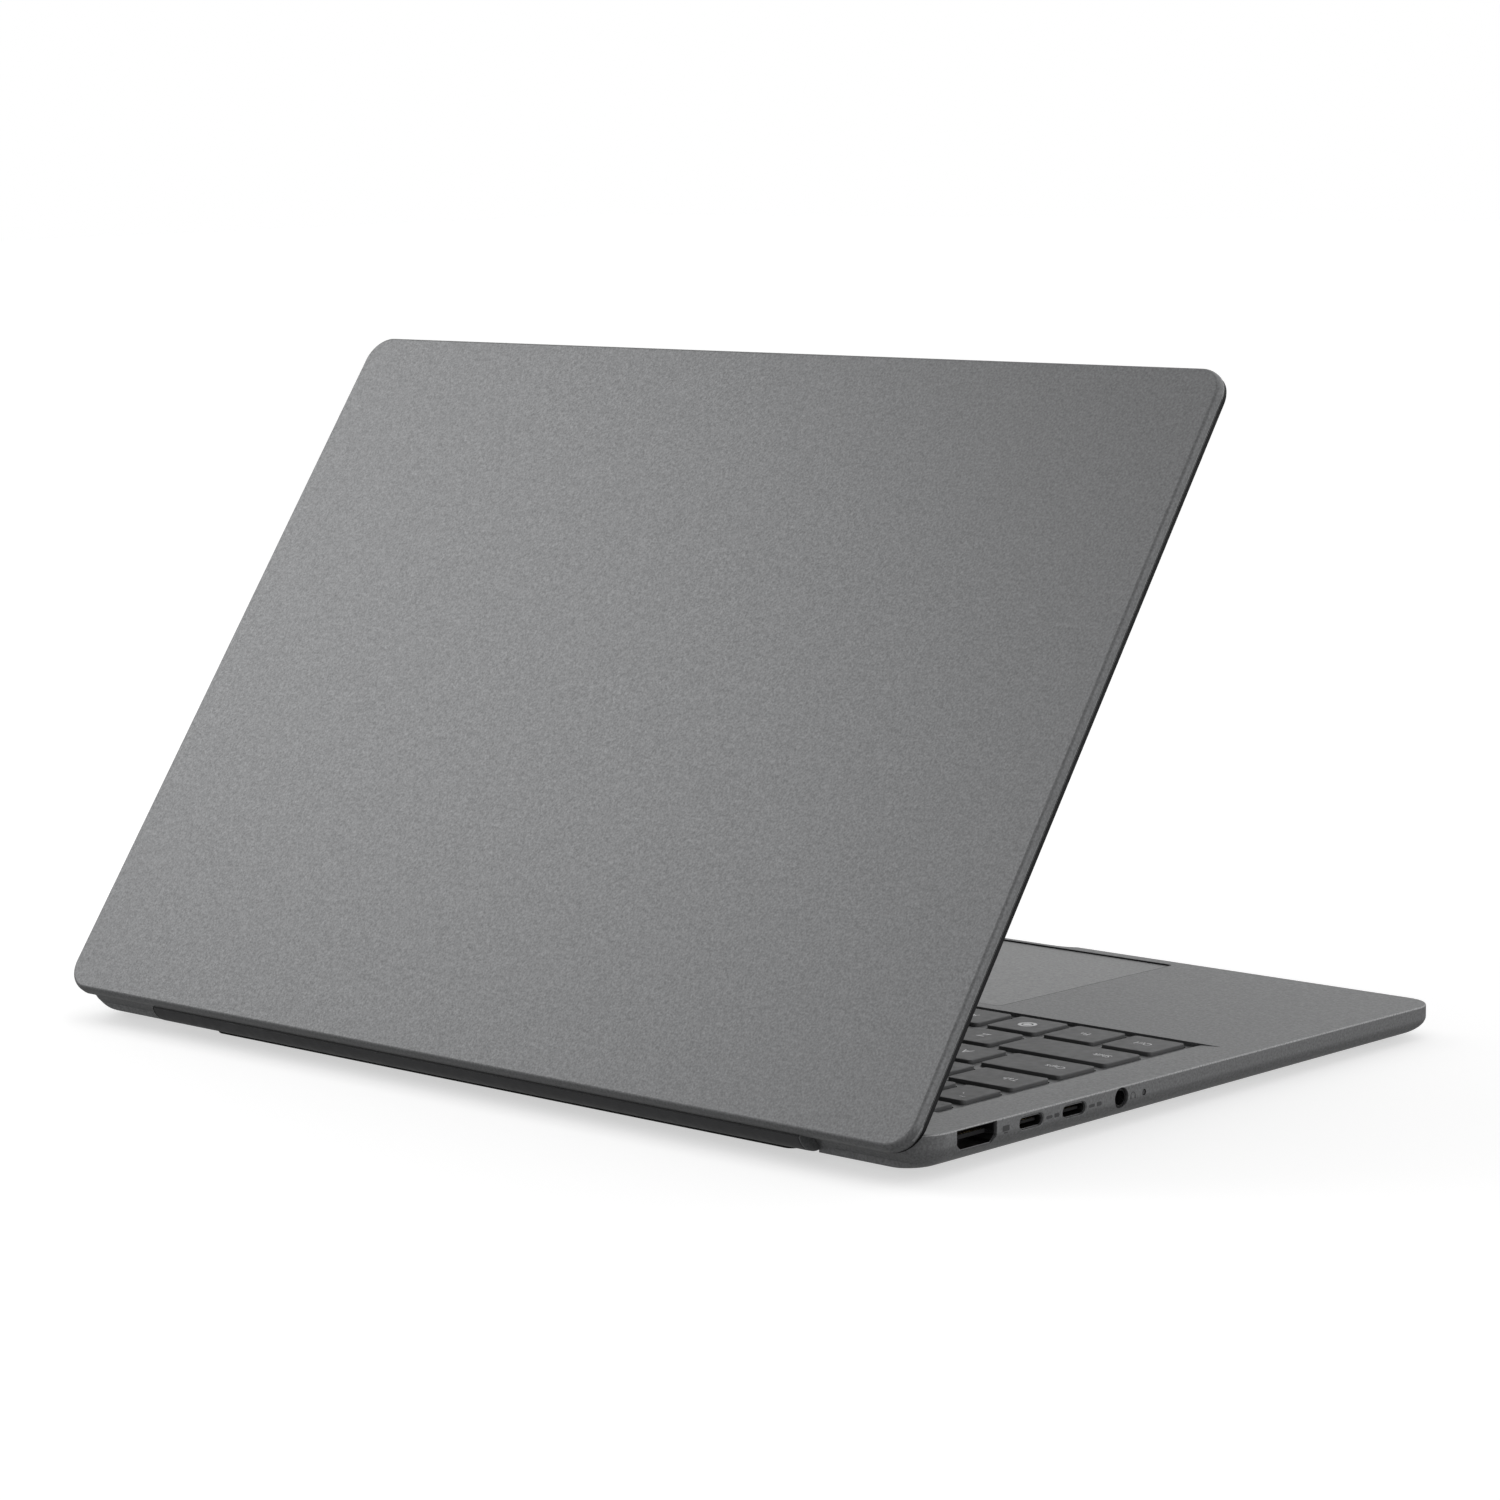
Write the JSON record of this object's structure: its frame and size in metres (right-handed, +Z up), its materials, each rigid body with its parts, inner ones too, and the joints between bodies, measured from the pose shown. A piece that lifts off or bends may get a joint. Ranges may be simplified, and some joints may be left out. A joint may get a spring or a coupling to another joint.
{
  "type": "laptop computer",
  "caption": "Slim grey metal clamshell laptop with its lid part open, a keyboard with separate low keys, a wide touchpad and ports on both sides.",
  "frame": {"origin": "middle of the resting object's footprint box, on the surface that the feet stand on, with the lid as in the rest pose", "axes": "+X to the user's right along the hinge, +Y back from the front edge towards the hinge, +Z up"},
  "size_m": [0.3106, 0.2176, 0.1833],
  "materials": {
    "anodised_grey": "satin",
    "black_plastic": "satin",
    "key_grey": "matte",
    "screen_glass": "gloss",
    "touchpad_glass": "satin",
    "rubber": "matte",
    "steel": "satin",
    "board_green": "satin",
    "battery_foil": "satin",
    "copper": "satin",
    "ribbon": "satin",
    "lamp_lens": "satin"
  },
  "bodies": {
    "base": {"top_case": "anodised_grey", "bottom_cover": "anodised_grey", "bottom_screw_1": "steel", "bottom_screw_2": "steel", "bottom_screw_3": "steel", "bottom_screw_4": "steel", "rear_foot": "rubber", "front_foot_left": "rubber", "front_foot_right": "rubber", "keyboard_plate": "steel", "touchpad_bracket": "steel", "mainboard": "board_green", "battery_pack": "battery_foil", "fan_housing": "black_plastic", "heat_pipe": "copper", "heatsink_fins": "copper", "cold_plate": "copper", "ssd_card": "board_green", "wifi_card": "board_green", "speaker_left": "black_plastic", "speaker_right": "black_plastic", "hdmi_port": "steel", "usb_c_port_1": "steel", "usb_c_port_2": "steel", "audio_jack": "black_plastic", "usb_a_port": "steel", "io_board": "board_green", "io_ribbon": "ribbon", "status_led": "lamp_lens", "hinge_bracket_left": "steel", "hinge_bracket_right": "steel"},
    "lid": {"lid_cover": "anodised_grey", "display_panel": "screen_glass", "bezel_frame": "black_plastic", "lid_gasket": "rubber", "webcam_module": "board_green", "hinge_cover": "black_plastic", "hinge_leaf_left": "steel", "hinge_leaf_right": "steel", "hinge_pin_left": "steel", "hinge_pin_right": "steel"},
    "fan_rotor": {"fan_rotor": "black_plastic"},
    "touchpad": {"touchpad": "touchpad_glass"},
    "function_keys": {"function_keys": "key_grey"},
    "power_key": {"power_key": "key_grey"},
    "number_keys": {"number_keys": "key_grey"},
    "backspace_key": {"backspace_key": "key_grey"},
    "tab_key": {"tab_key": "key_grey"},
    "top_letter_keys": {"top_letter_keys": "key_grey"},
    "caps_lock_key": {"caps_lock_key": "key_grey"},
    "home_letter_keys": {"home_letter_keys": "key_grey"},
    "enter_key": {"enter_key": "key_grey"},
    "left_shift_key": {"left_shift_key": "key_grey"},
    "bottom_letter_keys": {"bottom_letter_keys": "key_grey"},
    "right_shift_key": {"right_shift_key": "key_grey"},
    "left_modifier_keys": {"left_modifier_keys": "key_grey"},
    "space_bar": {"space_bar": "key_grey"},
    "right_modifier_keys": {"right_modifier_keys": "key_grey"},
    "arrow_keys": {"arrow_keys": "key_grey"}
  },
  "joints": [
    {"name": "lid_hinge", "type": "hinge", "parent": "base", "child": "lid", "pos_m": [0, 0.10056, 0.00898], "axis": [-1, 0, 0], "range_deg": [-55.1, 74.8]},
    {"name": "fan_spin", "type": "hinge", "parent": "base", "child": "fan_rotor", "pos_m": [0.084, 0.03216, 0.0047], "axis": [0, -0.0113, 0.9999], "continuous": true},
    {"name": "touchpad_press", "type": "slide", "parent": "base", "child": "touchpad", "axis": [0, 0.0113, -0.9999], "range_m": [0, 0.0003], "stiffness_N_per_m": 2500, "springref_m": -0.0006},
    {"name": "function_keys_press", "type": "slide", "parent": "base", "child": "function_keys", "axis": [0, 0.0113, -0.9999], "range_m": [0, 0.0011], "stiffness_N_per_m": 1500, "springref_m": -0.0006},
    {"name": "power_key_press", "type": "slide", "parent": "base", "child": "power_key", "axis": [0, 0.0113, -0.9999], "range_m": [0, 0.0011], "stiffness_N_per_m": 500, "springref_m": -0.0006},
    {"name": "number_keys_press", "type": "slide", "parent": "base", "child": "number_keys", "axis": [0, 0.0113, -0.9999], "range_m": [0, 0.0011], "stiffness_N_per_m": 1500, "springref_m": -0.0006},
    {"name": "backspace_key_press", "type": "slide", "parent": "base", "child": "backspace_key", "axis": [0, 0.0113, -0.9999], "range_m": [0, 0.0011], "stiffness_N_per_m": 500, "springref_m": -0.0006},
    {"name": "tab_key_press", "type": "slide", "parent": "base", "child": "tab_key", "axis": [0, 0.0113, -0.9999], "range_m": [0, 0.0011], "stiffness_N_per_m": 500, "springref_m": -0.0006},
    {"name": "top_letter_keys_press", "type": "slide", "parent": "base", "child": "top_letter_keys", "axis": [0, 0.0113, -0.9999], "range_m": [0, 0.0011], "stiffness_N_per_m": 1500, "springref_m": -0.0006},
    {"name": "caps_lock_key_press", "type": "slide", "parent": "base", "child": "caps_lock_key", "axis": [0, 0.0113, -0.9999], "range_m": [0, 0.0011], "stiffness_N_per_m": 500, "springref_m": -0.0006},
    {"name": "home_letter_keys_press", "type": "slide", "parent": "base", "child": "home_letter_keys", "axis": [0, 0.0113, -0.9999], "range_m": [0, 0.0011], "stiffness_N_per_m": 1500, "springref_m": -0.0006},
    {"name": "enter_key_press", "type": "slide", "parent": "base", "child": "enter_key", "axis": [0, 0.0113, -0.9999], "range_m": [0, 0.0011], "stiffness_N_per_m": 500, "springref_m": -0.0006},
    {"name": "left_shift_key_press", "type": "slide", "parent": "base", "child": "left_shift_key", "axis": [0, 0.0113, -0.9999], "range_m": [0, 0.0011], "stiffness_N_per_m": 500, "springref_m": -0.0006},
    {"name": "bottom_letter_keys_press", "type": "slide", "parent": "base", "child": "bottom_letter_keys", "axis": [0, 0.0113, -0.9999], "range_m": [0, 0.0011], "stiffness_N_per_m": 1500, "springref_m": -0.0006},
    {"name": "right_shift_key_press", "type": "slide", "parent": "base", "child": "right_shift_key", "axis": [0, 0.0113, -0.9999], "range_m": [0, 0.0011], "stiffness_N_per_m": 500, "springref_m": -0.0006},
    {"name": "left_modifier_keys_press", "type": "slide", "parent": "base", "child": "left_modifier_keys", "axis": [0, 0.0113, -0.9999], "range_m": [0, 0.0011], "stiffness_N_per_m": 900, "springref_m": -0.0006},
    {"name": "space_bar_press", "type": "slide", "parent": "base", "child": "space_bar", "axis": [0, 0.0113, -0.9999], "range_m": [0, 0.0011], "stiffness_N_per_m": 700, "springref_m": -0.0006},
    {"name": "right_modifier_keys_press", "type": "slide", "parent": "base", "child": "right_modifier_keys", "axis": [0, 0.0113, -0.9999], "range_m": [0, 0.0011], "stiffness_N_per_m": 900, "springref_m": -0.0006},
    {"name": "arrow_keys_press", "type": "slide", "parent": "base", "child": "arrow_keys", "axis": [0, 0.0113, -0.9999], "range_m": [0, 0.0011], "stiffness_N_per_m": 900, "springref_m": -0.0006}
  ]
}
